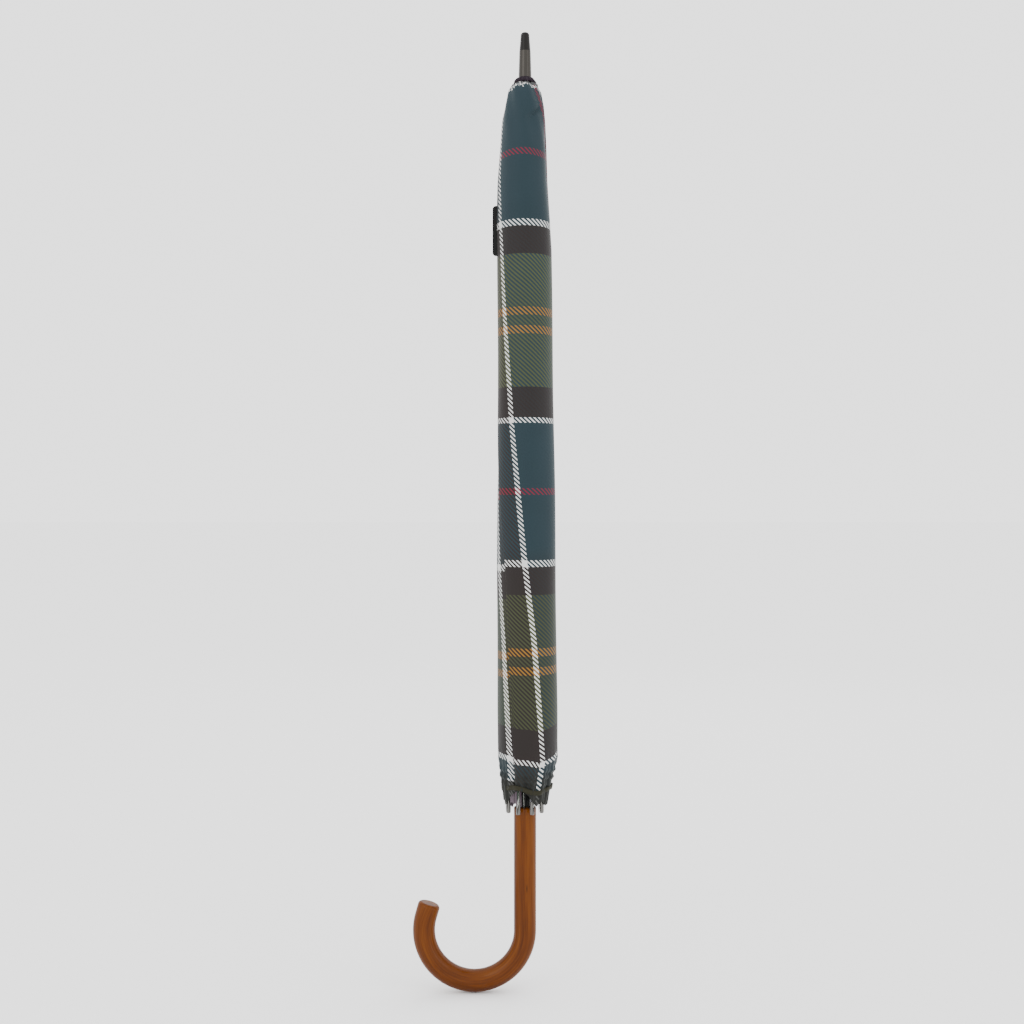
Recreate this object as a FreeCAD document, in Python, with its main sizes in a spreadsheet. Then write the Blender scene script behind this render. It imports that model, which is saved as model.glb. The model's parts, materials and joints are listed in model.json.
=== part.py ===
import FreeCAD, Part

import math
import os

import Sketcher
from FreeCAD import Placement, Rotation, Vector

# Stick umbrella, furled. Millimetres, +Z up towards the ferrule. The origin is on the shaft's axis at the middle of
# the straight part of the grip, and the front of the umbrella faces -Y. The crook bends towards -X.

SIZES = {
    # shaft and grip
    "shaft_radius": 5.0,
    "shaft_bore": 4.2,
    "shaft_bottom": 25.0,
    "shaft_top": 730.3,
    "grip_radius": 10.25,
    "grip_top": 60.0,
    "crook_radius": 46.5,
    "crook_centre_drop": 53.6,
    "crook_sweep": 196.0,
    "crook_end_straight": 12.4,
    "crook_end_round": 3.2,
    "grip_top_round": 1.4,
    # ferrule
    "ferrule_base_radius": 6.0,
    "ferrule_end_radius": 5.3,
    "ferrule_length": 24.3,
    "spigot_length": 22.0,
    "tip_base_radius": 5.2,
    "tip_end_radius": 3.8,
    "tip_length": 17.4,
    "tip_round": 2.6,
    # crown
    "pivot_circle": 9.5,
    "pivot_level": 719.0,
    "crown_radius": 12.0,
    "crown_bottom": 714.0,
    "crown_height": 9.5,
    "slot_width": 1.9,
    "crown_slot_start": 7.2,
    "wire_radius": 0.55,
    "groove_radius": 0.60,
    "eye_hole": 0.65,
    # ribs, as a channel open towards the shaft
    "rib_tilt": 0.56,
    "rib_inner_length": 285.0,
    "rib_outer_length": 367.0,
    "rib_half_width": 1.6,
    "rib_inside_half_width": 1.1,
    "rib_lip": 0.6,
    "rib_back": 1.9,
    "rib_back_inside": 1.5,
    "rib_channel_start": 7.0,
    "rib_inner_bow": 7.5,
    "rib_outer_bow": 7.0,
    "tongue_back": 2.7,
    "tongue_half_width": 0.75,
    "tongue_radius": 1.9,
    "rivet_radius": 0.5,
    "rivet_hole": 0.58,
    "rivet_head_radius": 1.1,
    "rivet_half_length": 2.6,
    "lug_start": 1.68,
    "lug_end": 2.18,
    "outer_channel_start": 2.6,
    "lug_length": 8.0,
    "cap_radius": 2.0,
    "cap_length": 12.0,
    "cap_round": 1.4,
    # stretchers
    "stretcher_half_width": 0.8,
    "stretcher_half_depth": 1.2,
    # runner
    "runner_bore": 5.15,
    "sleeve_radius": 7.6,
    "sleeve_drop": 52.0,
    "flange_radius": 12.0,
    "flange_half_height": 3.0,
    "runner_slot_start": 7.9,
    "runner_slot_width": 2.0,
    "keyway_radius": 7.0,
    "keyway_width": 2.6,
    # catches
    "catch_drop": 33.0,
    "catch_height": 10.0,
    "catch_width": 2.0,
    "catch_nose": 6.8,
    "catch_heel": 1.5,
    "catch_slot_gap": 0.15,
    "stop_pin_radius": 1.0,
    "stop_pin_half_length": 6.5,
    "stop_pin_gap": 2.1,
    # cloth
    "panel_bottom": 2.9,
    "panel_top": 3.8,
    "panel_half_width": 0.5,
    "upper_panel_start": 40.0,
    "upper_panel_length": 225.0,
    "lower_panel_start": 15.0,
    "lower_panel_length": 335.0,
    "cloth_thickness": 1.0,
    "wrap_top": 724.8,
    "wrap_bottom": 68.5,
    "rosette_radius": 9.4,
    "strap_bottom": 75.2,
    "strap_height": 6.5,
    "strap_inner_radius": 22.0,
    "strap_thickness": 0.9,
    "label_width": 5.3,
    "label_height": 46.0,
    "label_thickness": 1.2,
    "label_bottom": 566.0,
    "label_outer_edge": 29.9,
}
RIB_COUNT = 8
OPEN_ANGLE = 73.0  # degrees between the shaft and the chord of an opened rib's inner half
FIRST_RIB_AZIMUTH = 22.5  # degrees from +X, so that no rib stands right at the front
CATCH_AZIMUTH = -90.0  # degrees, between two ribs
TRANSVERSE = Rotation(Vector(1, 0, 0), 90)  # turns a cylinder's axis from +Z to -Y

doc = FreeCAD.newDocument("StickUmbrella")
sheet = doc.addObject("Spreadsheet::Sheet", "Sizes")
for row, (alias, value) in enumerate(SIZES.items(), start=1):
    sheet.set(f"A{row}", alias)
    sheet.set(f"B{row}", str(value))
    sheet.setAlias(f"B{row}", alias)
doc.recompute()


def size(alias):
    """A driving dimension, read back from the sheet."""
    return float(getattr(sheet, alias))


def bind(item, expressions):
    """Bind an object's properties to expressions of the sheet's cells: "#word" stands for a cell."""
    for name, expression in expressions.items():
        item.setExpression(name, expression.replace("#", "Sizes."))


def primitive(kind, name, sizes, places=None, rotation=None):
    """A Part primitive. Sizes are properties, and places are the parts of its base point, as expressions."""
    item = doc.addObject("Part::" + kind, name)
    if rotation is not None:
        item.Placement = Placement(Vector(), rotation)
    bind(item, sizes)
    bind(item, {f".Placement.Base.{axis}": value for axis, value in (places or {}).items()})
    return item


def box(name, x, y, z):
    """A box from (low, length) pairs of expressions along each axis."""
    lengths = {"Length": x[1], "Width": y[1], "Height": z[1]}
    return primitive("Box", name, lengths, {"x": x[0], "y": y[0], "z": z[0]})


def mirrored_box(name, x, half_width, z):
    """A box centred on the plane Y = 0."""
    return box(name, x, (f"-({half_width})", f"2 * ({half_width})"), z)


def cylinder(name, radius, low, length, sizes=None):
    """An upright cylinder on the shaft's axis."""
    return primitive("Cylinder", name, {"Radius": radius, "Height": length, **(sizes or {})}, {"z": low})


def crosspin(name, radius, half_length, depth):
    """A cylinder along Y through the point that lies depth below the local origin."""
    places = {"y": half_length, "z": f"-({depth})"}
    return primitive("Cylinder", name, {"Radius": radius, "Height": f"2 * ({half_length})"}, places, TRANSVERSE)


def fuse(name, *items):
    item = doc.addObject("Part::MultiFuse", name)
    item.Shapes = list(items)
    return item


def cut(name, base, *tools):
    item = doc.addObject("Part::Cut", name)
    item.Base = base
    item.Tool = tools[0] if len(tools) == 1 else fuse(name + "_tools", *tools)
    return item


def rounded(name, base, radius, chosen):
    """Fillet the edges for which chosen(edge) is true."""
    doc.recompute()
    item = doc.addObject("Part::Fillet", name)
    item.Base = base
    numbers = [k for k, edge in enumerate(base.Shape.Edges, start=1) if chosen(edge)]
    item.Edges = [(k, size(radius), size(radius)) for k in numbers]
    return item


nodes = []


def node(name, item, placement=None):
    """Name a finished sub-part, and put it in its place."""
    item.Label = name
    if placement is not None:
        item.Placement = placement
    nodes.append(item)
    return item


def attached_sketch(body, name, role, lift=0.0):
    """A sketch on one of a body's origin planes, lifted along the plane's normal."""
    sketch = body.newObject("Sketcher::SketchObject", name)
    plane = next(feature for feature in body.Origin.OriginFeatures if feature.Role == role)
    sketch.AttachmentSupport = [(plane, "")]
    sketch.MapMode = "FlatFace"
    sketch.AttachmentOffset = Placement(Vector(0, 0, lift), Rotation())
    return sketch


def circle_sketch(body, name, radius, lift):
    """A circle about the shaft's axis in a level plane."""
    sketch = attached_sketch(body, name, "XY_Plane")
    sketch.setExpression(".AttachmentOffset.Base.z", lift.replace("#", "Sizes."))
    sketch.addGeometry(Part.Circle(Vector(), Vector(0, 0, 1), 1.0), False)
    sketch.addConstraint(Sketcher.Constraint("Coincident", 0, 3, -1, 1))
    index = sketch.addConstraint(Sketcher.Constraint("Radius", 0, 1.0))
    sketch.setExpression(f"Constraints[{index}]", radius.replace("#", "Sizes."))
    return sketch


def turned(name, outline):
    """A body turned about the shaft's axis from (radius, level) points."""
    body = doc.addObject("PartDesign::Body", name)
    sketch = attached_sketch(body, name + "_outline", "XZ_Plane")
    points = [Vector(radius, level, 0) for radius, level in outline]
    for start, end in zip(points, points[1:] + points[:1]):
        sketch.addGeometry(Part.LineSegment(start, end), False)
    for k, point in enumerate(points):
        sketch.addConstraint(Sketcher.Constraint("Coincident", k, 2, (k + 1) % len(points), 1))
        sketch.addConstraint(Sketcher.Constraint("DistanceX", -1, 1, k, 1, point.x))
        sketch.addConstraint(Sketcher.Constraint("DistanceY", -1, 1, k, 1, point.y))
    turning = body.newObject("PartDesign::Revolution", name + "_turning")
    turning.Profile = sketch
    turning.ReferenceAxis = (sketch, ["V_Axis"])
    turning.Angle = 360.0
    return body


# The places of the moving frame at rest, worked out from the sheet.
tilt = math.radians(size("rib_tilt"))
knee_radius = size("pivot_circle") + size("rib_inner_length") * math.sin(tilt)
knee_level = size("pivot_level") - size("rib_inner_length") * math.cos(tilt)
runner_level = size("pivot_level") - 2 * size("rib_inner_length") * math.cos(tilt)
open_level = size("pivot_level") - 2 * size("rib_inner_length") * math.cos(math.radians(OPEN_ANGLE))
runner_travel = open_level - runner_level


def radial_place(azimuth, radius=0.0, level=0.0, lean=0.0):
    """Local +X outward at an azimuth. A positive lean swings what hangs below the point outward."""
    turn = Rotation(Vector(0, 0, 1), azimuth)
    return Placement(turn.multVec(Vector(radius, 0, level)), turn * Rotation(Vector(0, 1, 0), -lean))


def radial_boxes(name, start, width, low, height, azimuths, reach="20"):
    """Boxes that run outward from a radius, one at each azimuth, joined as one tool."""
    boxes = []
    for k, azimuth in enumerate(azimuths):
        turn = Rotation(Vector(0, 0, 1), azimuth)
        corner = turn.multVec(Vector(start, -width / 2, low))
        item = primitive("Box", f"{name}_{k}", {"Length": reach, "Width": str(width), "Height": height}, None, turn)
        item.Placement.Base = corner
        boxes.append(item)
    return boxes[0] if len(boxes) == 1 else fuse(name, *boxes)


def rib_azimuths():
    return [FIRST_RIB_AZIMUTH + 360.0 * k / RIB_COUNT for k in range(RIB_COUNT)]


# Grip ------------------------------------------------------------------------------------------------------------
def make_handle():
    """The crook: a round bar along a straight, an arc and a short straight, bored for the shaft."""
    body = doc.addObject("PartDesign::Body", "handle_body")
    path = attached_sketch(body, "crook_path", "XZ_Plane")
    drop = size("crook_centre_drop")
    bend = size("crook_radius")
    path.addGeometry(Part.LineSegment(Vector(0, size("grip_top"), 0), Vector(0, -drop, 0)), False)
    circle = Part.Circle(Vector(-bend, -drop, 0), Vector(0, 0, 1), bend)
    path.addGeometry(Part.ArcOfCircle(circle, math.radians(360 - size("crook_sweep")), math.radians(360)), False)
    past = math.radians(size("crook_sweep") - 180)
    bend_end = Vector(-bend - bend * math.cos(past), -drop + bend * math.sin(past), 0)
    bar_end = bend_end + Vector(math.sin(past), math.cos(past), 0) * size("crook_end_straight")
    path.addGeometry(Part.LineSegment(bend_end, bar_end), False)
    doc.recompute()
    profile = circle_sketch(body, "grip_section", "#grip_radius", "#grip_top")
    doc.recompute()
    bar = body.newObject("PartDesign::AdditivePipe", "crook_bar")
    bar.Profile = profile
    bar.Spine = (path, ["Edge1", "Edge2", "Edge3"])
    doc.recompute()
    mouth = circle_sketch(body, "socket_circle", "#shaft_radius", "#grip_top")
    socket = body.newObject("PartDesign::Pocket", "socket")
    socket.Profile = mouth
    socket.setExpression("Length", "Sizes.grip_top - Sizes.shaft_bottom")
    doc.recompute()
    removed = bar.Shape.Volume - socket.Shape.Volume
    assert removed > 1000, "the socket cuts nothing"
    base = socket
    rounds = [
        ("end_round", "crook_end_round", Vector(bar_end.x, 0, bar_end.y)),
        ("mouth_round", "grip_top_round", Vector(0, 0, size("grip_top"))),
    ]
    for name, radius, place in rounds:
        edges = []
        for k, edge in enumerate(base.Shape.Edges, start=1):
            ring = isinstance(edge.Curve, Part.Circle) and abs(edge.Curve.Radius - size("grip_radius")) < 0.01
            if ring and edge.isClosed() and edge.CenterOfMass.distanceToPoint(place) < 0.1:
                edges.append(f"Edge{k}")
        fillet = body.newObject("PartDesign::Fillet", name)
        fillet.Base = (base, edges)
        fillet.setExpression("Radius", "Sizes." + radius)
        doc.recompute()
        base = fillet
    return node("handle", body)


# Shaft and ferrule -------------------------------------------------------------------------------------------------
def make_shaft():
    """A tube with a slot for each catch, and the stop pin that the open runner comes up to."""
    outside = cylinder("shaft_outside", "#shaft_radius", "#shaft_bottom", "#shaft_top - #shaft_bottom")
    inside = cylinder("shaft_inside", "#shaft_bore", "#shaft_bottom - 1", "#shaft_top - #shaft_bottom + 2")
    width = size("catch_width") + 2 * size("catch_slot_gap")
    height = f"{size('catch_height') + 2 * size('catch_slot_gap')}"
    slots = []
    for name, level in [("bottom_slot", runner_level), ("top_slot", open_level)]:
        low = level - size("catch_drop") - size("catch_height") / 2 - size("catch_slot_gap")
        slots.append(radial_boxes(name, 0.0, width, low, height, [CATCH_AZIMUTH], "10"))
    tube = cut("shaft_tube", outside, inside, *slots)
    pin = crosspin("stop_pin", "#stop_pin_radius", "#stop_pin_half_length", "0")
    pin.setExpression(".Placement.Base.z", None)
    pin.Placement.Base.z = open_level + size("flange_half_height") + size("stop_pin_gap")
    node("shaft", fuse("shaft_with_pin", tube, pin))


def make_ferrule():
    """A tapered sleeve on a spigot that fills the tube's end, with a separate blunt cap."""
    taper = primitive(
        "Cone",
        "ferrule_taper",
        {"Radius1": "#ferrule_base_radius", "Radius2": "#ferrule_end_radius", "Height": "#ferrule_length"},
        {"z": "#shaft_top"},
    )
    spigot = cylinder("ferrule_spigot", "#shaft_bore", "#shaft_top - #spigot_length", "#spigot_length + 1")
    node("ferrule", fuse("ferrule_body", taper, spigot))
    blank = primitive(
        "Cone",
        "tip_blank",
        {"Radius1": "#tip_base_radius", "Radius2": "#tip_end_radius", "Height": "#tip_length"},
        {"z": "#shaft_top + #ferrule_length"},
    )
    end = size("shaft_top") + size("ferrule_length") + size("tip_length")
    node("ferrule_tip", rounded("tip_body", blank, "tip_round", lambda edge: edge.CenterOfMass.z > end - 0.1))


def make_crown():
    """The notched disc that the ribs hang from, and its ring wire, which runs in a groove across the slots."""
    disc = cylinder("crown_disc", "#crown_radius", "#crown_bottom", "#crown_height")
    bore = cylinder("crown_bore", "#shaft_radius", "#crown_bottom - 1", "#crown_height + 2")
    low = size("crown_bottom") - 1
    height = "#crown_height + 2"
    slots = radial_boxes("crown_slots", size("crown_slot_start"), size("slot_width"), low, height, rib_azimuths())
    groove = primitive(
        "Torus", "crown_groove", {"Radius1": "#pivot_circle", "Radius2": "#groove_radius"}, {"z": "#pivot_level"}
    )
    wire = primitive(
        "Torus", "crown_wire", {"Radius1": "#pivot_circle", "Radius2": "#wire_radius"}, {"z": "#pivot_level"}
    )
    pair = doc.addObject("Part::Compound", "crown_and_wire")
    pair.Links = [cut("crown_body", disc, bore, slots, groove), wire]
    node("crown", pair)


# Frame -------------------------------------------------------------------------------------------------------------
def bowed_bar(name, chord, bow, low, high, half_width, span):
    """A bar along -Z that bows outward over a chord from the local origin, between two heights over its line."""
    bend = f"(({chord})^2 / (8 * {bow}) + {bow} / 2)"
    rings = []
    for side, height in (("outside", high), ("inside", low)):
        places = {"x": f"{bow} - {bend}", "y": half_width, "z": f"-({chord}) / 2"}
        radius = f"{bend} + ({height})"
        sizes = {"Radius": radius, "Height": f"2 * ({half_width})"}
        rings.append(primitive("Cylinder", f"{name}_{side}", sizes, places, TRANSVERSE))
    window = mirrored_box(name + "_window", ("-5", "10 + " + bow), f"({half_width}) + 1", span)
    bar = doc.addObject("Part::MultiCommon", name)
    bar.Shapes = [cut(name + "_ring", *rings), window]
    return bar


def channel(name, chord, bow, start, length):
    """A rib's bowed channel along -Z, open towards the shaft."""
    span = (f"-({start}) - ({length})", length)
    longer = (f"-({start}) - ({length}) - 1", f"({length}) + 2")
    outside = bowed_bar(name + "_outside", chord, bow, "-#rib_lip", "#rib_back", "#rib_half_width", span)
    hollow = (name + "_hollow", chord, bow, "-#rib_lip - 1", "#rib_back_inside", "#rib_inside_half_width", longer)
    return cut(name, outside, bowed_bar(*hollow))


def make_rib_inner(k, azimuth):
    """From the crown's wire to the knee, with the rivet that holds the outer half and the stretcher."""
    length = "#rib_inner_length + #tongue_radius - #rib_channel_start"
    bar = channel(f"rib_inner_bar_{k}", "#rib_inner_length", "#rib_inner_bow", "#rib_channel_start", length)
    eye = crosspin(f"rib_eye_{k}", "#tongue_radius", "#tongue_half_width", "0")
    reach = ("-#rib_channel_start - 4", "#rib_channel_start + 4")
    tongue = mirrored_box(f"rib_tongue_{k}", ("-1.2", "#tongue_back + 1.2"), "#tongue_half_width", reach)
    rivet = crosspin(f"rivet_{k}", "#rivet_radius", "#rivet_half_length", "#rib_inner_length")
    heads = crosspin(f"rivet_heads_{k}", "#rivet_head_radius", "#rivet_half_length", "#rib_inner_length")
    between = crosspin(f"rivet_gap_{k}", "3", "#lug_end + 0.07", "#rib_inner_length")
    hole = crosspin(f"rib_eye_hole_{k}", "#eye_hole", "5", "0")
    solid = fuse(f"rib_inner_solid_{k}", bar, eye, tongue, rivet, cut(f"rivet_ends_{k}", heads, between))
    place = radial_place(azimuth, size("pivot_circle"), size("pivot_level"), size("rib_tilt"))
    node(f"rib_inner_{k + 1}", cut(f"rib_inner_body_{k}", solid, hole), place)


def make_rib_outer(k, azimuth):
    """From the knee to the cap, with two lugs outside the inner half's walls."""
    length = "#rib_outer_length - #outer_channel_start"
    bar = channel(f"rib_outer_bar_{k}", "#rib_outer_length", "#rib_outer_bow", "#outer_channel_start", length)
    span = ("-#lug_length", "#lug_length")
    depth = ("-1.4", "2.8")
    plates = mirrored_box(f"lug_plates_{k}", depth, "#lug_end", span)
    ends = crosspin(f"lug_ends_{k}", "1.4", "#lug_end", "0")
    gap = mirrored_box(f"lug_gap_{k}", ("-5", "10"), "#lug_start", ("-#outer_channel_start", "10"))
    inside = mirrored_box(
        f"lug_inside_{k}", ("-5", "5 + #rib_back_inside"), "#rib_inside_half_width", ("-20", "30")
    )
    hole = crosspin(f"lug_hole_{k}", "#rivet_hole", "5", "0")
    solid = cut(f"rib_outer_solid_{k}", fuse(f"rib_outer_blank_{k}", bar, plates, ends), gap, inside, hole)
    place = radial_place(azimuth, knee_radius, knee_level, size("rib_tilt"))
    node(f"rib_outer_{k + 1}", solid, place)


def make_rib_tip(k, azimuth):
    """The blunt cap that holds a corner of the cloth."""
    blank = primitive("Cylinder", f"cap_blank_{k}", {"Radius": "#cap_radius", "Height": "#cap_length"}, {"x": "0.4"})
    cap = rounded(f"cap_body_{k}", blank, "cap_round", lambda edge: edge.CenterOfMass.z < 0.1)
    place = radial_place(azimuth, knee_radius, knee_level, size("rib_tilt"))
    drop = Placement(Vector(0, 0, -size("rib_outer_length") - size("cap_length")), Rotation())
    node(f"rib_tip_{k + 1}", cap, place * drop)


def make_stretcher(k, azimuth):
    """The strut from the knee to the runner, with an eye at each end."""
    length = "#rib_inner_length"
    bar = mirrored_box(
        f"stretcher_bar_{k}", ("-#stretcher_half_depth", "2 * #stretcher_half_depth"), "#stretcher_half_width",
        (f"-{length}", length)
    )
    top = crosspin(f"stretcher_top_{k}", "#stretcher_half_depth", "#stretcher_half_width", "0")
    foot = crosspin(f"stretcher_foot_{k}", "#stretcher_half_depth", "#stretcher_half_width", length)
    top_hole = crosspin(f"stretcher_top_hole_{k}", "#rivet_hole", "5", "0")
    foot_hole = crosspin(f"stretcher_foot_hole_{k}", "#rivet_hole", "5", length)
    solid = fuse(f"stretcher_solid_{k}", bar, top, foot)
    place = radial_place(azimuth, knee_radius, knee_level, -size("rib_tilt"))
    node(f"stretcher_{k + 1}", cut(f"stretcher_body_{k}", solid, top_hole, foot_hole), place)


def make_panels(k, azimuth):
    """A gore's upper and lower cloth, gathered to a strip on the outer side of the rib that it is sewn to."""
    for ring, radius, level in [
        ("upper", size("pivot_circle"), size("pivot_level")),
        ("lower", knee_radius, knee_level),
    ]:
        half = {"upper": "inner", "lower": "outer"}[ring]
        start = f"#{ring}_panel_start"
        length = f"#{ring}_panel_length"
        chord = f"#rib_{half}_length"
        bow = f"#rib_{half}_bow"
        span = (f"-{start} - {length}", length)
        strip = bowed_bar(
            f"{ring}_strip_{k}", chord, bow, "#panel_bottom", "#panel_top", "#panel_half_width", span
        )
        place = radial_place(azimuth, radius, level, size("rib_tilt"))
        node(f"panel_{ring}_{k + 1}", strip, place)


# Runner and catches --------------------------------------------------------------------------------------------------
def make_runner():
    """The sliding sleeve: a slotted flange for the stretchers, and a keyway and window for the catches."""
    low = runner_level - size("sleeve_drop")
    top = runner_level + size("flange_half_height")
    sleeve = cylinder("runner_sleeve", "#sleeve_radius", f"{low}", f"{top - low}")
    flange_low = f"{top} - 2 * #flange_half_height"
    flange = cylinder("runner_flange", "#flange_radius", flange_low, "2 * #flange_half_height")
    bore = cylinder("runner_bore_tool", "#runner_bore", f"{low - 1}", f"{top - low + 2}")
    slots = radial_boxes(
        "runner_slots", size("runner_slot_start"), size("runner_slot_width"), top - 10, "20", rib_azimuths()
    )
    keyway = radial_boxes(
        "runner_keyway", 3.0, size("keyway_width"), low - 1, f"{top - low + 2}", [CATCH_AZIMUTH], "#keyway_radius - 3"
    )
    window_low = runner_level - size("catch_drop") - size("catch_height") / 2 - 1
    window = radial_boxes(
        "runner_window", 3.0, size("keyway_width"), window_low, f"{size('catch_height') + 2}", [CATCH_AZIMUTH]
    )
    node("runner", cut("runner_body", fuse("runner_blank", sleeve, flange), bore, slots, keyway, window))


def make_catch(name, level):
    """A sprung nose that stands out of the shaft's slot and is pressed inward."""
    low = level - size("catch_drop") - size("catch_height") / 2
    blank = box(
        name + "_blank",
        ("#catch_heel", "#catch_nose - #catch_heel"),
        ("-#catch_width / 2", "#catch_width"),
        ("0", "#catch_height"),
    )
    nose = rounded(
        name + "_nose",
        blank,
        "catch_slot_gap",
        lambda edge: edge.CenterOfMass.x > size("catch_nose") - 0.01,
    )
    node(name, nose, radial_place(CATCH_AZIMUTH, 0.0, low))


# Cloth -----------------------------------------------------------------------------------------------------------
# The furled cloth's outer radius at some levels, from the hem up to the crown.
WRAP_PROFILE = [
    (20.2, 68.5),
    (21.9, 74.5),
    (21.9, 82.0),
    (26.2, 98.0),
    (27.1, 130.0),
    (27.1, 320.0),
    (25.4, 434.0),
    (24.6, 565.0),
    (24.2, 600.0),
    (22.7, 635.0),
    (21.1, 664.0),
    (19.2, 692.0),
    (17.7, 705.0),
    (15.4, 717.8),
    (13.4, 724.8),
]


def make_wrap():
    """The rolled cloth: a thin sleeve round the folded frame, open at the hem and closed under the rosette."""
    thickness = size("cloth_thickness")
    inner = [(radius - thickness, level) for radius, level in WRAP_PROFILE]
    inner[-1] = (inner[-1][0], size("wrap_top") - thickness)
    top = [(size("shaft_radius"), size("wrap_top")), (size("shaft_radius"), size("wrap_top") - thickness)]
    node("canopy_wrap", turned("canopy_wrap_body", WRAP_PROFILE + top + inner[::-1]))


def make_rosette():
    """The gathered ring of cloth that covers the hole at the top."""
    ring = cylinder("rosette_ring", "#rosette_radius", "#wrap_top", "#shaft_top - #wrap_top")
    bore = cylinder("rosette_bore", "#shaft_radius", "#wrap_top - 1", "#shaft_top - #wrap_top + 2")
    node("rosette", cut("rosette_body", ring, bore))


def make_tie_strap():
    """The band round the waist of the rolled cloth."""
    band = cylinder("strap_band", "#strap_inner_radius + #strap_thickness", "#strap_bottom", "#strap_height")
    bore = cylinder("strap_bore", "#strap_inner_radius", "#strap_bottom - 1", "#strap_height + 2")
    node("tie_strap", cut("strap_body", band, bore))


def make_label_tab():
    """The blank tab sewn into a seam, with rounded ends."""
    blank = box(
        "label_blank",
        ("-#label_outer_edge", "#label_width"),
        ("-#label_thickness / 2 - 2", "#label_thickness"),
        ("#label_bottom", "#label_height"),
    )
    outer = -size("label_outer_edge") + 0.1
    level_edge = lambda edge: edge.CenterOfMass.x < outer and abs(edge.tangentAt(edge.FirstParameter).y) > 0.9
    doc.recompute()
    tab = doc.addObject("Part::Fillet", "label_body")
    tab.Base = blank
    tab.Edges = [(k, 2.5, 2.5) for k, edge in enumerate(blank.Shape.Edges, start=1) if level_edge(edge)]
    node("label_tab", tab)


make_handle()
make_shaft()
make_ferrule()
make_crown()
for k, azimuth in enumerate(rib_azimuths()):
    make_rib_inner(k, azimuth)
    make_rib_outer(k, azimuth)
    make_rib_tip(k, azimuth)
    make_stretcher(k, azimuth)
    make_panels(k, azimuth)
make_runner()
make_catch("bottom_catch", runner_level)
make_catch("top_catch", open_level)
make_wrap()
make_rosette()
make_tie_strap()
make_label_tab()
doc.recompute()

for item in doc.Objects:
    if "Invalid" in item.State or "Error" in item.State:
        raise RuntimeError(f"{item.Name} ({item.Label}) failed: {item.State}")
os.makedirs("parts", exist_ok=True)
for item in nodes:
    shape = item.Shape
    if shape.isNull() or not shape.isValid() or not shape.Solids:
        raise RuntimeError(f"{item.Label} has no valid solid")
    shape.exportStep(f"parts/{item.Label}.step")
    print(f"{item.Label}: {len(shape.Solids)} solids, {shape.Volume:.1f} mm3")
print(f"runner travel {runner_travel:.3f} mm, from {runner_level:.3f} to {open_level:.3f}; knee {knee_radius:.3f}")
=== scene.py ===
import json
import math

import bpy
import numpy as np
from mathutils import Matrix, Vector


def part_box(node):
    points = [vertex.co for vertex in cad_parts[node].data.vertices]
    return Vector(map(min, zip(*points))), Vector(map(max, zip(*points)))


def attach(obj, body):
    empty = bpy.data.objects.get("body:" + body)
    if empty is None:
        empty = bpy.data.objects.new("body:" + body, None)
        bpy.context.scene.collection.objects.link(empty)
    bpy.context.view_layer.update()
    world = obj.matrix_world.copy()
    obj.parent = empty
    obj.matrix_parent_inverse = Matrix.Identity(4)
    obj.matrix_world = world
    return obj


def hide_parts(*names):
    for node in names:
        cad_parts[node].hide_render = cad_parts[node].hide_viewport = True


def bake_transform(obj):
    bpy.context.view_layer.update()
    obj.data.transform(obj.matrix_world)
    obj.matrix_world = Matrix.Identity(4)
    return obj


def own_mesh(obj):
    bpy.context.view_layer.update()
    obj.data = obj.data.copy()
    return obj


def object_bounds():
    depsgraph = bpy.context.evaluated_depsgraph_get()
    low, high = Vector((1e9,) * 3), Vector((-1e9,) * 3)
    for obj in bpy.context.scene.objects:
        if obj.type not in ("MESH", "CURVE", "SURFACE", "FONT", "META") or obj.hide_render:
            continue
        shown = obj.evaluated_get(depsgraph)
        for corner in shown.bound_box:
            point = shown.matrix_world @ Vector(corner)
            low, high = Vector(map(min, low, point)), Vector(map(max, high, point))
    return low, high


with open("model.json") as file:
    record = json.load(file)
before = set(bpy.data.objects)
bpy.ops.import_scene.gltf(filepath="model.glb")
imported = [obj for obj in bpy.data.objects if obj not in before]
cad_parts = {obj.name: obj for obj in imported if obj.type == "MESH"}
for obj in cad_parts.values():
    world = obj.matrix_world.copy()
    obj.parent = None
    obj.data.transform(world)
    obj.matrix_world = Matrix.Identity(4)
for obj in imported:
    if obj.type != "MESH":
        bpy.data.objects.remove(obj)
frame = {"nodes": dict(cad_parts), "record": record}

# Stick umbrella, furled. Metres, +Z up along the shaft, front towards -Y, crook towards -X.

MM = 0.001
RECORD = frame["record"]
JOINTS = {joint["name"]: joint for joint in RECORD["behaviour"]["joints"]}
RATIOS = {pair["joint"]: pair["ratio"] for pair in RECORD["behaviour"]["couplings"]}
TRAVEL = JOINTS["runner_slide"]["range_m"][1]
RIB_COUNT = sum(name.startswith("rib_hinge_") for name in JOINTS)
LOW, HIGH = [np.array(corner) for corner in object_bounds()]


# Matrices --------------------------------------------------------------------------------------------------------
def rotation(axis, angle):
    """A 3 by 3 rotation about an axis through the origin."""
    x, y, z = np.array(axis) / np.linalg.norm(axis)
    cross = np.array([[0, -z, y], [z, 0, -x], [-y, x, 0]])
    return np.eye(3) + math.sin(angle) * cross + (1 - math.cos(angle)) * cross @ cross


def joint_matrix(name, share=1.0):
    """How a follower's child stands in its parent when the runner is at a share of its travel."""
    joint = JOINTS[name]
    turn = rotation(joint["axis"], RATIOS[name] * TRAVEL * share)
    place = np.eye(4)
    place[:3, :3] = turn
    place[:3, 3] = np.array(joint["pos_m"]) - turn @ np.array(joint["pos_m"])
    return place


def moved(matrix, points):
    """Points after a 4 by 4 matrix has moved them."""
    return points @ matrix[:3, :3].T + matrix[:3, 3]


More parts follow.
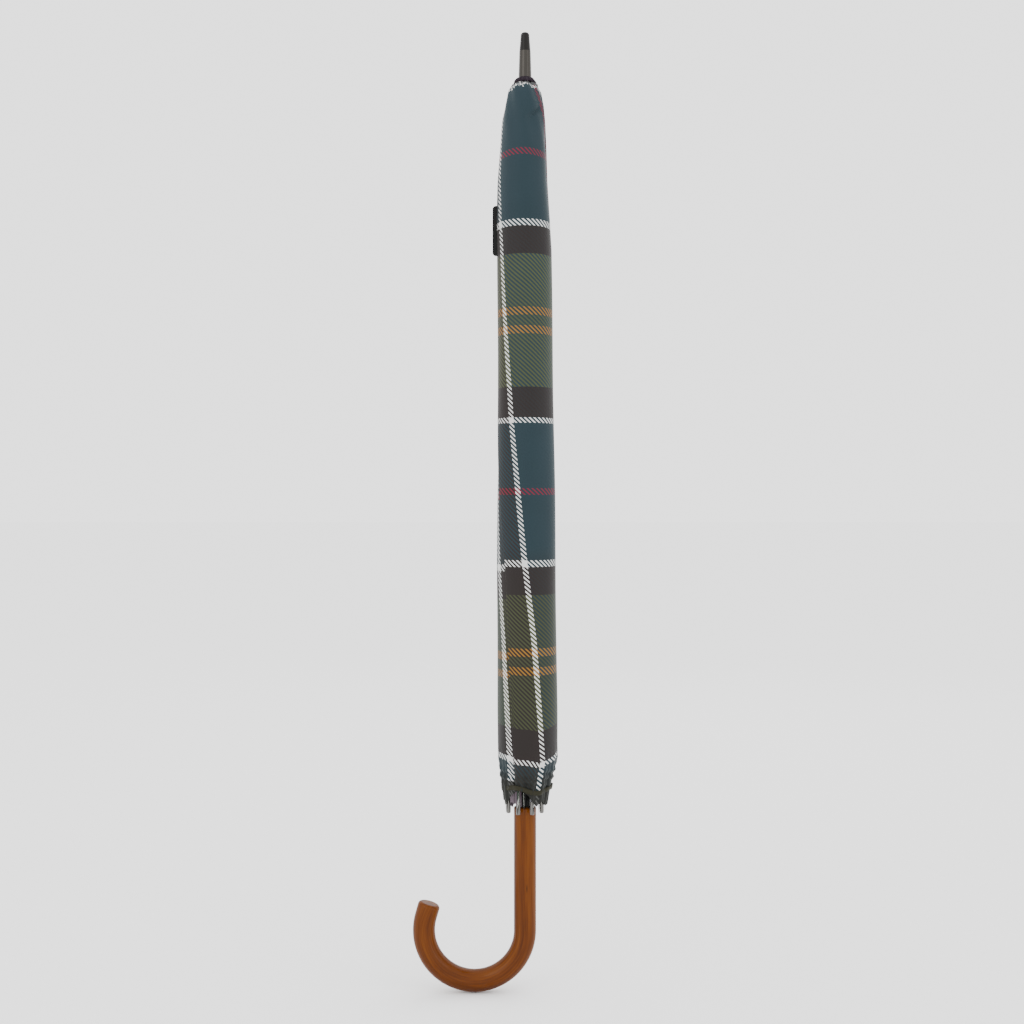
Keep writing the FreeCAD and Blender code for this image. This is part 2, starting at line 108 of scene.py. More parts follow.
# Materials -------------------------------------------------------------------------------------------------------
class Shader:
    """A node tree under construction: sockets in, sockets out."""

    def __init__(self, name):
        self.material = bpy.data.materials.new(name)
        self.material.use_nodes = True
        self.tree = self.material.node_tree
        self.surface = self.tree.nodes["Principled BSDF"]

    def feed(self, socket, value):
        if isinstance(value, bpy.types.NodeSocket):
            self.tree.links.new(value, socket)
        elif value is not None:
            socket.default_value = value

    def math(self, operation, *values):
        node = self.tree.nodes.new("ShaderNodeMath")
        node.operation = operation
        for socket, value in zip(node.inputs, values):
            self.feed(socket, value)
        return node.outputs[0]

    def mix(self, factor, first, second):
        node = self.tree.nodes.new("ShaderNodeMix")
        node.data_type = "RGBA"
        for k, value in ((0, factor), (6, first), (7, second)):
            self.feed(node.inputs[k], value)
        return node.outputs[2]

    def ramp(self, factor, stops, interpolation="LINEAR"):
        node = self.tree.nodes.new("ShaderNodeValToRGB")
        node.color_ramp.interpolation = interpolation
        elements = node.color_ramp.elements
        while len(elements) < len(stops):
            elements.new(0.5)
        for element, (place, colour) in zip(elements, stops):
            element.position = place
            element.color = (*colour, 1.0)
        self.feed(node.inputs[0], factor)
        return node.outputs[0]

    def noise(self, vector, scale, detail=3.0, roughness=0.5):
        node = self.tree.nodes.new("ShaderNodeTexNoise")
        for name, value in (("Vector", vector), ("Scale", scale), ("Detail", detail), ("Roughness", roughness)):
            self.feed(node.inputs[name], value)
        return node.outputs[0]

    def position(self):
        return self.tree.nodes.new("ShaderNodeTexCoord").outputs["Object"]

    def split(self, vector):
        node = self.tree.nodes.new("ShaderNodeSeparateXYZ")
        self.feed(node.inputs[0], vector)
        return node.outputs

    def join(self, x, y, z):
        node = self.tree.nodes.new("ShaderNodeCombineXYZ")
        for socket, value in zip(node.inputs, (x, y, z)):
            self.feed(socket, value)
        return node.outputs[0]

    def product(self, first, *others):
        for other in others:
            first = self.math("MULTIPLY", first, other)
        return first

    def square(self, value):
        return self.math("POWER", value, 2.0)

    def below(self, level, top, slope, most):
        """0 above a top level, and growing downwards from it, by slope a metre, to its most."""
        growing = self.product(self.math("SUBTRACT", top, level), slope)
        return self.math("MINIMUM", self.math("MAXIMUM", growing, 0.0), most)

    def bump(self, height, distance, strength):
        node = self.tree.nodes.new("ShaderNodeBump")
        for name, value in (("Height", height), ("Distance", distance), ("Strength", strength)):
            self.feed(node.inputs[name], value)
        self.feed(self.surface.inputs["Normal"], node.outputs[0])

    def finish(self, **inputs):
        for name, value in inputs.items():
            if isinstance(value, tuple) and len(value) == 3:
                value = (*value, 1.0)
            self.feed(self.surface.inputs[name.replace("_", " ")], value)
        return self.material


MOTTLE_SCALE = 60.0


def plain(name, colour, roughness, metallic=0.0, grain=0.0, **more):
    """One colour. Grain is a faint mottle in the roughness, so that it isn't perfectly even."""
    shader = Shader(name)
    if grain:
        mottle = shader.noise(shader.position(), MOTTLE_SCALE)
        roughness = shader.math("MULTIPLY_ADD", mottle, grain, roughness - grain / 2)
    return shader.finish(Base_Color=colour, Roughness=roughness, Metallic=metallic, **more)


# Yarn colours, a painted shadow colour, and the tartan's repeat: lengths of cloth in millimetres, alike along and
# across.
WHITE = (0.52, 0.52, 0.51)
TEAL = (0.0085, 0.0200, 0.0260)
BROWN = (0.0118, 0.0086, 0.0080)
GREEN = (0.0385, 0.0455, 0.0185)
ORANGE = (0.195, 0.092, 0.010)
RED = (0.110, 0.007, 0.020)
# painted shadow: the colour the rolled cloth is darkened towards where it lies in shade
SHADOW = (0.0085, 0.0082, 0.0060)
SETT = [
    (2.8, WHITE),
    (26.2, BROWN),
    (48.4, GREEN),
    (7.4, ORANGE),
    (10.0, GREEN),
    (7.4, ORANGE),
    (48.0, GREEN),
    (27.8, BROWN),
    (5.6, WHITE),
    (59.4, TEAL),
    (6.8, RED),
    (59.4, TEAL),
    (2.8, WHITE),
]
SETT_LENGTH = sum(length for length, _ in SETT) * MM
TWILL_PITCH = 4.3 * MM


def sett_stops():
    stops = []
    place = 0.0
    for length, colour in SETT:
        stops.append((place * MM / SETT_LENGTH, colour))
        place += length
    return stops


def cover_stops():
    """How far a row's yarn hides the column's between the ribs of the weave: almost wholly in the brown rows."""
    covers = {BROWN: 0.85, TEAL: 0.05}
    return [(place, (covers.get(colour, 0.0),) * 3) for place, colour in sett_stops()]


def dark_stops():
    """1 for the dark yarns and 0 for the bright ones."""
    return [(place, (0.0 if colour in (WHITE, ORANGE, RED) else 1.0,) * 3) for place, colour in sett_stops()]


def sett_ramp(shader, place, stops):
    """A ramp over the sett, read at a place along or across the cloth."""
    return shader.ramp(shader.math("FRACT", shader.math("DIVIDE", place, SETT_LENGTH)), stops, "CONSTANT")


def roll_shadow(shader, hold, dark):
    """How deep the rolled cloth lies in shadow: its dark yarns at the strap and a little above it, and all of it in
    the tuck under the strap, which is higher on the left."""
    strap_top = 102.0 * MM
    rows_top = 300.0 * MM
    tuck_top = 78.0 * MM
    tuck_rise = 9.5 * MM
    tuck_side = -8.0 * MM
    side, _, level = shader.split(shader.position())
    at_strap = shader.product(shader.below(level, strap_top, 60.0, 0.8), dark)
    loose = shader.math("SUBTRACT", 1.0, hold)
    above = shader.product(shader.below(level, rows_top, 20.0, 0.33), dark, loose)
    tuck = shader.math("MULTIPLY_ADD", shader.math("LESS_THAN", side, tuck_side), tuck_rise, tuck_top)
    inside = shader.below(level, tuck, 700.0, 0.93)
    return shader.math("MAXIMUM", shader.math("MAXIMUM", at_strap, above), inside)


def tartan(name="tartan_twill", rolled=False):
    """Yarn-dyed twill: rows and columns of one sett, showing in turn along diagonal ribs of the weave."""
    rib_share = 0.25  # where the row's yarn gives way to the column's, in a wave that rises to a half
    bright_share = 0.042  # how much narrower bright yarn shows than dark yarn
    rib_sharpness = 16.0
    cloud_scale = 22.0
    cloud_depth = 0.30
    shader = Shader(name)
    cloth = shader.tree.nodes.new("ShaderNodeUVMap")
    cloth.uv_map = "cloth"
    across, along, _ = shader.split(cloth.outputs[0])
    row = sett_ramp(shader, along, sett_stops())
    column = sett_ramp(shader, across, sett_stops())
    hold = sett_ramp(shader, along, cover_stops())
    dark_row = sett_ramp(shader, along, dark_stops())
    dark_column = sett_ramp(shader, across, dark_stops())
    thin = shader.math("MULTIPLY_ADD", shader.math("SUBTRACT", dark_column, dark_row), bright_share, rib_share)
    phase = shader.math("FRACT", shader.math("DIVIDE", shader.math("SUBTRACT", across, along), TWILL_PITCH))
    wave = shader.math("PINGPONG", phase, 0.5)
    edge = shader.math("MULTIPLY_ADD", shader.math("SUBTRACT", wave, thin), rib_sharpness, 0.5)
    face = shader.math("MAXIMUM", shader.math("MINIMUM", edge, 1.0), shader.product(hold, dark_column))
    woven = shader.mix(face, column, row)
    # The rolled variant has painted shadow: at the strap, over the lower rows and in the tuck under the strap.
    if rolled:
        shadow = roll_shadow(shader, hold, shader.product(dark_column, dark_row))
        woven = shader.mix(shadow, woven, (*SHADOW, 1.0))
    cloud = shader.noise(shader.position(), cloud_scale, 2.0)
    shade = shader.math("MULTIPLY_ADD", cloud, cloud_depth, 1.0 - cloud_depth / 2)
    colour = shader.tree.nodes.new("ShaderNodeMix")
    colour.data_type = "RGBA"
    colour.blend_type = "MULTIPLY"
    for k, value in ((0, 1.0), (6, woven), (7, shader.join(shade, shade, shade))):
        shader.feed(colour.inputs[k], value)
    shader.bump(wave, 0.12 * MM, 0.5)
    return shader.finish(
        Base_Color=colour.outputs[2], Roughness=0.6, Sheen_Weight=0.05, Sheen_Roughness=0.4, Specular_IOR_Level=0.16
    )


def wood(name="grip_wood"):
    """Stained bent wood, lacquered. The grain runs along the straight of the grip and round the crook."""
    grain_length = 0.045  # how short the grain's coordinate is along the wood, so that its streaks are long
    streak_share = 0.45
    knot_side, knot_level = 1.6 * MM, -13.2 * MM
    knot_width, knot_height = 0.6 * MM, 4.5 * MM
    shader = Shader(name)
    low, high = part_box("handle")
    bar = (high[1] - low[1]) / 2
    bend = (high[0] - low[0]) / 2 - bar
    x, y, z = shader.split(shader.position())
    side = shader.math("ADD", x, bend)
    rise = shader.math("SUBTRACT", z, low[2] + bend + bar)
    angle = shader.math("ARCTAN2", rise, side)
    above = shader.math("GREATER_THAN", rise, 0.0)
    beyond = shader.product(above, shader.math("LESS_THAN", side, 0.0))
    unwound = shader.math("SUBTRACT", angle, shader.product(beyond, math.tau))
    straight = shader.product(above, shader.math("GREATER_THAN", side, 0.0))
    bent = shader.math("SUBTRACT", 1.0, straight)
    length = shader.math("ADD", shader.product(straight, rise), shader.product(bent, unwound, bend))
    reach = shader.math("SQRT", shader.math("ADD", shader.square(side), shader.square(rise)))
    arc_side = shader.product(bent, shader.math("SUBTRACT", reach, bend))
    across = shader.math("ADD", shader.product(straight, x), arc_side)
    grain_space = shader.join(across, y, shader.product(length, grain_length))
    streaks = shader.noise(grain_space, 620.0, 4.0, 0.6)
    bands = shader.noise(grain_space, 130.0, 2.0, 0.5)
    colour = shader.ramp(
        shader.math("MULTIPLY_ADD", streaks, streak_share, shader.product(bands, 1.0 - streak_share)),
        [(0.30, (0.036, 0.0075, 0.0004)), (0.50, (0.082, 0.0200, 0.0006)), (0.72, (0.130, 0.0390, 0.0016))],
    )
    off_side = shader.square(shader.math("DIVIDE", shader.math("SUBTRACT", x, knot_side), knot_width))
    off_level = shader.square(shader.math("DIVIDE", shader.math("SUBTRACT", z, knot_level), knot_height))
    pin = shader.math("MAXIMUM", shader.math("SUBTRACT", 1.0, shader.math("ADD", off_side, off_level)), 0.0)
    knot = shader.product(pin, shader.math("LESS_THAN", y, 0.0), 0.8)
    colour = shader.mix(knot, colour, (0.012, 0.004, 0.001, 1.0))
    shader.bump(streaks, 0.05 * MM, 0.35)
    return shader.finish(
        Base_Color=colour, Roughness=0.40, Coat_Weight=0.18, Coat_Roughness=0.16, Specular_IOR_Level=0.03
    )


MATERIALS = {
    "grip_wood": wood(),
    "tartan_twill": tartan(),
    # the same twill with painted shadow, for the rolled cloth
    "tartan_rolled_painted_shade": tartan("tartan_rolled_painted_shade", rolled=True),
    "shaft_lacquer": plain("shaft_lacquer", (0.003, 0.003, 0.003), 0.38, 0.0, 0.06, Specular_IOR_Level=0.12),
    "gunmetal": plain("gunmetal", (0.043, 0.040, 0.036), 0.26, 1.0, 0.08),
    "dark_cap": plain("dark_cap", (0.0055, 0.005, 0.0045), 0.26, 0.0, 0.08, Specular_IOR_Level=0.15),
    "crown_black": plain("crown_black", (0.015, 0.015, 0.016), 0.5, 0.0, 0.1),
    "runner_black": plain("runner_black", (0.015, 0.015, 0.016), 0.42, 0.0, 0.1),
    "spring_steel": plain("spring_steel", (0.55, 0.55, 0.56), 0.25, 1.0, 0.1),
    "rib_steel": plain("rib_steel", (0.20, 0.20, 0.21), 0.32, 1.0, 0.12),
    "tip_metal": plain("tip_metal", (0.12, 0.117, 0.110), 0.27, 1.0, 0.12),
    "rosette_cloth": plain("rosette_cloth", (0.010, 0.005, 0.010), 0.7, 0.0, 0.1, Specular_IOR_Level=0.15),
    "strap_cloth": plain("strap_cloth", (0.0130, 0.0122, 0.0050), 0.62, 0.0, 0.1, Specular_IOR_Level=0.15),
    "label_cloth": plain("label_cloth", (0.0035, 0.0035, 0.0035), 0.6, 0.0, 0.1, Specular_IOR_Level=0.15),
    "lining": plain("lining", (0.085, 0.065, 0.078), 0.65, 0.0, 0.1, Specular_IOR_Level=0.15),
}


# Mesh building ---------------------------------------------------------------------------------------------------
def grid_mesh(name, points, cloth=None, closed=False):
    """A surface from an array of points (rows, columns, 3), with cloth coordinates in metres as its UVs."""
    rows, columns = points.shape[:2]
    faces = []
    for r in range(rows - 1):
        for c in range(columns if closed else columns - 1):
            after = (c + 1) % columns
            faces.append((r * columns + c, r * columns + after, (r + 1) * columns + after, (r + 1) * columns + c))
    mesh = bpy.data.meshes.new(name)
    mesh.from_pydata(points.reshape(-1, 3).tolist(), [], faces)
    mesh.polygons.foreach_set("use_smooth", [True] * len(faces))
    if cloth is not None:
        corners = np.empty(len(mesh.loops), int)
        mesh.loops.foreach_get("vertex_index", corners)
        mesh.uv_layers.new(name="cloth").data.foreach_set("uv", cloth.reshape(-1, 2)[corners].ravel())
    return mesh


def piece(name, mesh, slot, material=None):
    """A new object with the material named, or else the material under the slot's name."""
    item = bpy.data.objects.new(name, mesh)
    bpy.context.scene.collection.objects.link(item)
    item.data.materials.append(MATERIALS[material or slot])
    return item


def joined(name, meshes):
    """Several meshes as one."""
    verts = []
    faces = []
    uvs = []
    for mesh in meshes:
        shift = len(verts)
        verts += [tuple(vertex.co) for vertex in mesh.vertices]
        faces += [tuple(shift + k for k in polygon.vertices) for polygon in mesh.polygons]
        uvs += [tuple(loop.uv) for loop in mesh.uv_layers["cloth"].data] if mesh.uv_layers else []
    result = bpy.data.meshes.new(name)
    result.from_pydata(verts, [], faces)
    result.polygons.foreach_set("use_smooth", [True] * len(faces))
    if uvs:
        result.uv_layers.new(name="cloth").data.foreach_set("uv", np.array(uvs).ravel())
    return result


# The furled cloth ------------------------------------------------------------------------------------------------
WRAP_LOW, APEX_LEVEL = [corner[2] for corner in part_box("canopy_wrap")]
STRAP_LOW, STRAP_HIGH = [corner[2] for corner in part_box("tie_strap")]
# Level, radius and sideways drift of the rolled cloth, from the hem to the crown.
ROLL = np.array(
    [
        (62.0, 20.0, 1.1),
        (70.0, 21.4, 1.3),
        (78.0, 22.6, 1.4),
        (86.0, 24.2, 1.9),
        (106.0, 27.9, 3.0),
        (150.0, 28.3, 2.8),
        (214.0, 28.2, 2.4),
        (290.0, 28.0, 1.9),
        (342.0, 27.8, 1.6),
        (434.0, 26.7, 1.3),
        (572.0, 26.0, 0.5),
        (600.0, 25.5, -0.5),
        (635.0, 23.8, -1.4),
        (664.0, 22.2, -1.0),
        (692.0, 20.2, -0.5),
        (705.0, 18.4, -0.1),
        (717.8, 15.4, 0.0),
        (722.5, 12.4, 0.0),
        (724.8, 9.6, 0.0),
    ]
) * MM
# The folded edges turn back round the roll, by this many degrees at some levels between the hem and the crown.
EDGE_LEVELS = [0.106, 0.275, 0.342, 0.434, 0.72]
EDGE_TURNS = [0.0, -17.0, -33.0, -58.0, -72.0]
# The cloth's white column beside each edge turns too, because a gore's columns run along its centre line.
COLUMN_LEVELS = [0.105, 0.215, 0.285, 0.351, 0.414, 0.450, 0.595, 0.720]
COLUMN_TURNS = [0.0, -17.0, -33.5, -46.5, -61.0, -66.5, -92.0, -117.0]
# Each visible layer of the roll: where its folded edge and a column of its cloth lie at the hem, in degrees from
# the front, how far it goes round, that column's place in the sett in millimetres, and a shift of its rows.
LAYERS = [
    {"edge": -29.0, "span": 231.0, "column": 27.0, "place": 181.0, "shift": 0.0},
    {"edge": 177.0, "span": 70.0, "column": 205.0, "place": 246.0, "shift": 0.006},
    {"edge": 222.0, "span": 75.0, "column": 256.0, "place": 90.0, "shift": -0.004},
    {"edge": 272.0, "span": 84.0, "column": 319.2, "place": 0.0, "shift": -0.0045},
]
# How far the rows sag near the hem, in millimetres, at some angles from the front: the strap draws the cloth askew.
SAG_ANGLES = [-90.0, -42.0, -31.0, -28.0, 0.0, 22.0, 50.0, 80.0]
SAG_DROPS = [-7.5, -6.5, -5.5, 0.0, 0.8, 3.4, 0.5, -3.0]
# How far the rows bow upwards or downwards round the sides of the roll, in metres, at some levels.
BOW_LEVELS = [0.07, 0.20, 0.42, 0.60, 0.68, 0.72]
BOW_RISES = [-0.0022, -0.0009, 0.0, 0.0012, 0.0045, 0.0080]
# Where the roll narrows to the crown, its columns stay as wide as on a roll of these radii.
SPREAD_LEVELS = [0.686, 0.699, 0.719]
SPREAD_RADII = [0.0235, 0.0252, 0.0289]
WHITE_ROW = 0.5997 + 2 * SETT_LENGTH  # a place along the cloth where a white row crosses the front
ROW_STRETCH = 1.0102  # cloth along the roll for its height: it lies a little slack
FOLD_RADIUS = 0.55 * MM  # half the thickness of a folded edge
WOUND_DEPTH = 2.6 * MM  # how far a layer sinks from its folded edge to its other end
HEM_LEVEL = 64.5 * MM
HEM_NOTCH_LEVEL = 78.6 * MM
HEM_NOTCH_TURN = math.radians(18)
HEM_NOTCH_WIDTH = math.radians(30)


def roll_radius(level):
    return np.interp(level, ROLL[:, 0], ROLL[:, 1])


def roll_drift(level):
    return np.interp(level, ROLL[:, 0], ROLL[:, 2])


def facing_angle(angle):
    """The same angle from the front, within half a turn to either side."""
    return np.angle(np.exp(1j * angle))


def bell(value, middle, width):
    """1 at the middle, falling smoothly to nothing some widths away."""
    return np.exp(-(((value - middle) / width) ** 2))


def growth(value, start, length):
    """0 before the start, 1 beyond its length (to the other side, if the length is negative)."""
    return np.clip((value - start) / length, 0, 1)


def placed(angle, radius, level, drift=0.0):
    """Points at angles from the front, round an axis that drifts sideways from the shaft."""
    return np.stack([drift + radius * np.sin(angle), -radius * np.cos(angle), level], axis=-1)


def hem_level(angle):
    """The hem is highest at the front, where the strap lies over it, and dips to each rib's cap."""
    front = bell(facing_angle(angle + HEM_NOTCH_TURN), 0.0, HEM_NOTCH_WIDTH)
    dips = 2.2 * MM * np.cos(RIB_COUNT * angle)
    return (HEM_LEVEL + dips) * (1 - front) + HEM_NOTCH_LEVEL * front


def creases(angle, level):
    """How far the cloth stands out from the roll."""
    slack = 0.22 * MM * np.sin(2.3 * angle + 31 * level) + 0.18 * MM * np.sin(5.1 * angle - 17 * level + 1.3)
    # Diagonal pulls under the crown, and one dent along a slanting crease there.
    pulls_start = 0.66
    pulls = growth(level, pulls_start, 0.05)
    pulls = 1.3 * MM * pulls * np.sin(5 * angle + 130 * (level - pulls_start)) * np.sin(3 * angle + 0.6)
    crease = level - 0.694 - 0.013 * (angle - 0.5)
    dent = -3.4 * MM * bell(crease, 0.0, 2.8 * MM) * bell(angle, 0.60, 0.36)
    # Upright pleats and level rolls of cloth that the strap gathers.
    gather = growth(level, 0.118, -0.035)
    pleats = gather * (0.8 * MM * np.sin(13 * angle + 60 * level) + 0.5 * MM * np.sin(29 * angle + 1.0))
    rolls = 0.9 * MM * bell(level, 90.5 * MM, 8.0 * MM) * np.sin(900 * level + 3.0 * angle)
    # Two slanting drapes across the front, over the strap.
    slant = level + 4.8 * MM * np.sin(angle)
    drape = bell(slant, 92.0 * MM, 1.9 * MM) + 0.8 * bell(slant, 84.5 * MM, 1.6 * MM)
    drape = -1.0 * MM * drape * bell(facing_angle(angle), 0.0, 0.8)
    return slack + pulls + pleats + rolls + dent + drape


def layer_mesh(layer):
    """One layer: a short turned-under leaf, the fold, and the outer leaf, which runs under the next layer."""
    fold_degrees = 0.6
    full_radius = 24.0 * MM  # where the roll is narrower, its layers and creases are shallower too
    under = np.linspace(11.0, 1.2, 7)
    fold = np.radians(np.linspace(-90, 90, 7))
    outer = np.linspace(0, 1, 16 + round(layer["span"] / 2.8)) ** 1.08
    degrees = np.concatenate([under, np.full(len(fold), fold_degrees), fold_degrees + layer["span"] * outer])
    under_depth = np.full(len(under), 2 * FOLD_RADIUS)
    depth = np.concatenate([under_depth, FOLD_RADIUS * (1 - np.sin(fold)), WOUND_DEPTH * outer])
    bulge = np.concatenate([np.zeros(len(under)), -np.cos(fold) * FOLD_RADIUS, np.zeros(len(outer))])
    share = np.concatenate([np.linspace(0, 0.07, 60)[:-1], np.linspace(0.07, 0.9, 150)[:-1], np.linspace(0.9, 1, 60)])
    points = np.empty((len(share), len(degrees), 3))
    cloth = np.empty((len(share), len(degrees), 2))
    for r, part in enumerate(share):
        edge_level = WRAP_LOW + (APEX_LEVEL - WRAP_LOW) * part
        edge = math.radians(layer["edge"] + np.interp(edge_level, EDGE_LEVELS, EDGE_TURNS))
        angle = edge + np.radians(degrees)
        low = hem_level(angle)
        level = low + (APEX_LEVEL - low) * part
        radius = roll_radius(level)
        scale = np.clip(radius / full_radius, 0.3, 1.0)
        radius = radius - depth * scale + creases(angle, level) * scale
        angle = angle + bulge / radius
        points[r] = placed(angle, radius, level, roll_drift(level))
        facing = facing_angle(angle)
        column = np.radians(layer["column"] + np.interp(level, COLUMN_LEVELS, COLUMN_TURNS))
        spread = np.maximum(radius, np.interp(level, SPREAD_LEVELS, SPREAD_RADII))
        cloth[r, :, 0] = layer["place"] * MM + (angle - column) * spread
        bow = np.interp(level, BOW_LEVELS, BOW_RISES) * np.sin(facing * 0.8) ** 2
        sag = np.interp(np.degrees(facing), SAG_ANGLES, SAG_DROPS) * MM * growth(level, 0.190, -0.07)
        jag = growth(level, 0.712, 0.006) * (1.6 * MM * np.sin(9 * angle) + 1.3 * MM * np.sin(23 * angle + 1.0))
        cloth[r, :, 1] = WHITE_ROW - ROW_STRETCH * level - bow - sag + jag + layer["shift"]
    return grid_mesh("layer", points, cloth)


def lining_mesh():
    """The folded corners of the cloth's inner face, inside the ring of caps, parted in front of the shaft."""
    inner_radius = 12.5 * MM
    height = 22.0 * MM
    angles = np.radians(np.linspace(22, 346, 300))
    parts = np.linspace(0, 1, 10)
    points = np.empty((len(parts), len(angles), 3))
    for r, part in enumerate(parts):
        folds = 1.6 * MM * np.cos(16 * angles) + 0.6 * MM * np.sin(37 * angles)
        radius = inner_radius + 6.2 * MM * bell(angles, math.radians(326), 0.33) + folds + 1.2 * MM * part
        bottom = 64.0 * MM + 2.2 * MM * np.sin(9 * angles + 1.0) + 1.2 * MM * np.sin(23 * angles)
        points[r] = placed(angles, radius, bottom + part * height)
    return grid_mesh("lining", points)


def gathers(item):
    """Soft cloth: put under the root's body, with a mesh of its own."""
    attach(item, "root")
    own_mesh(item)


def make_roll():
    mesh = joined("furled_canopy", [layer_mesh(layer) for layer in LAYERS])
    item = piece("furled_canopy", mesh, "tartan_twill", "tartan_rolled_painted_shade")
    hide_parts("canopy_wrap")
    gathers(item)
    lining = piece("lining_corners", lining_mesh(), "tartan_twill", "lining")
    gathers(lining)


def make_strap():
    """The band round the waist of the roll, with its end lapped at the front and tucked into the cloth at its sides."""
    lap_start = 352
    angles = np.radians(np.linspace(-8, 372, 220))
    facing = facing_angle(angles)
    # How far out, in metres, and how far up the band each line of its section lies.
    section = [(0.0, 0.0), (0.0009, 0.0003), (0.0011, 0.5), (0.0009, 0.9997), (0.0, 1.0), (-0.0004, 0.5), (0.0, 0.0)]
    sag = 0.8 * MM * np.sin(angles + 0.6) - 4.5 * MM * np.sin(2 * facing) * bell(facing, 0.0, 0.9)
    tucked = 1.8 * MM * bell(np.abs(facing), 0.94, 0.33)
    lap = 0.5 * MM * (np.degrees(angles) > lap_start)
    ripple = 0.3 * MM * np.sin(13 * angles)
    points = np.empty((len(section), len(angles), 3))
    for r, (out, part) in enumerate(section):
        level = STRAP_LOW + 0.6 * MM + (STRAP_HIGH - STRAP_LOW - 2.0 * MM) * part + sag
        radius = roll_radius(level) + 0.3 * MM + 0.6 * out + lap - tucked + ripple
        points[r] = placed(angles, radius, level, roll_drift(level))
    item = piece("closing_strap", grid_mesh("closing_strap", points), "strap_cloth")
    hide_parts("tie_strap")
    gathers(item)


def make_label():
    """The blank woven tab in the seam: a flat loop with rounded ends."""
    low, high = [np.array(corner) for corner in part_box("label_tab")]
    outer = low[0]
    inner = high[0] + 1.5 * MM
    half_thick = 0.6 * MM
    rounding = 3.2 * MM
    middle = (high + low) / 2
    bottom = low[2]
    turn = np.radians(np.linspace(0, 90, 8))
    outline = [(inner, bottom), (outer + rounding, bottom)]
    outline += [(outer + rounding * (1 - math.sin(a)), bottom + rounding * (1 - math.cos(a))) for a in turn]
    outline += [(x, 2 * middle[2] - z) for x, z in outline[::-1]]
    points = np.array([[(x, middle[1] + side, z) for x, z in outline] for side in (-half_thick, half_thick)])
    mesh = grid_mesh("seam_label", points, closed=True)
    verts = [tuple(vertex.co) for vertex in mesh.vertices]
    faces = [tuple(polygon.vertices) for polygon in mesh.polygons]
    count = len(outline)
    faces += [tuple(range(count))[::-1], tuple(range(count, 2 * count))]
    solid = bpy.data.meshes.new("seam_label")
    solid.from_pydata(verts, [], faces)
    item = piece("seam_label", solid, "label_cloth")
    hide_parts("label_tab")
    gathers(item)


def make_rosette():
    """A gathered ring: ruffled round its rim, drawn in to the ferrule."""
    low, high = [np.array(corner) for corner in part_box("rosette")]
    angles = np.linspace(0, math.tau, 216, endpoint=False)
    height = high[2] - low[2]
    # Shares of the ring's radius and height, from its inner edge over the rim and back below.
    outline = [(0.56, 0.98), (0.62, 1.0), (0.74, 0.92), (0.90, 0.66), (1.04, 0.30), (1.08, 0.08), (0.98, -0.05)]
    outline += [(0.80, 0.05), (0.60, 0.10), (0.56, 0.12)]
    points = np.empty((len(outline), len(angles), 3))
    for r, (out, part) in enumerate(outline):
        ruffle = growth(out, 0.6, 0.4)
        radius = high[0] * out * (1 + 0.055 * ruffle * np.sin(17 * angles + 0.8 * np.sin(3 * angles)))
        points[r, :, 0] = radius * np.cos(angles)
        points[r, :, 1] = radius * np.sin(angles)
        points[r, :, 2] = low[2] + height * part + 0.4 * MM * ruffle * np.sin(11 * angles + 1.0)
    item = piece("gathered_rosette", grid_mesh("gathered_rosette", points, closed=True), "rosette_cloth")
    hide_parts("rosette")
    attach(item, "root")


# The open cloth --------------------------------------------------------------------------------------------------
RIB_SIDE = 3.3 * MM  # the cloth's height over a rib's centre line
BOWS = {"upper": 7.5 * MM, "lower": 7.0 * MM}  # how far each half of a rib bows out of its chord
PLEAT = 6.0 * MM  # how wide a gore's cloth is when it lies gathered on its rib
# Places along a rib, from its hinge.
CLOTH_START = 5.0 * MM
KNEE = 285.0 * MM  # the stretcher's rivet
CLOTH_END = 664.0 * MM
CHORDS = {"upper": (0.0, KNEE), "lower": (KNEE, 652.0 * MM)}
HEM_RISE = 0.055  # how far the hem's middle stands back between two ribs, as a share of the lower half
SEAM_LAP = 2.0 * MM  # how far the lower gores reach under the upper ones
# The sett's place down a gore's middle, and where each half of the gore starts along it.
CENTRE_COLUMN = 246.1 * MM
APEX_ROW = 12.0 * MM
MIDDLE_SLANT = math.radians(21.7)  # between a rib and the middle line of a gore beside it
ROW_START = {"upper": APEX_ROW, "lower": APEX_ROW + (KNEE - CLOTH_START) * math.cos(MIDDLE_SLANT) - SEAM_LAP}
HALVINGS = 48  # steps of the search for each point's share of the blend


def rib_frame(k):
    """A rib's hinge point, its direction away from the crown and its outward side, at rest."""
    hinge = np.array(JOINTS[f"rib_hinge_{k}"]["pos_m"])
    knee = np.array(JOINTS[f"rib_flex_{k}"]["pos_m"])
    along = (knee - hinge) / np.linalg.norm(knee - hinge)
    side = np.array(JOINTS[f"rib_hinge_{k}"]["axis"])
    return hinge, along, np.cross(side, along)


def open_matrices(k):
    """How a rib's inner and outer halves stand when the umbrella is open."""
    inner = joint_matrix(f"rib_hinge_{k}")
    return inner, inner @ joint_matrix(f"rib_flex_{k}")


def on_rib(k, ring, distances):
    """Points of the cloth over one half of an open rib, at distances from the rib's hinge."""
    hinge, along, outward = rib_frame(k)
    first, last = CHORDS[ring]
    part = (distances - first) / (last - first)
    height = RIB_SIDE + 4 * BOWS[ring] * np.maximum(part * (1 - part), -0.02)
    rest = hinge + distances[:, None] * along + height[:, None] * outward
    inner, outer = open_matrices(k)
    return moved(inner if ring == "upper" else outer, rest)


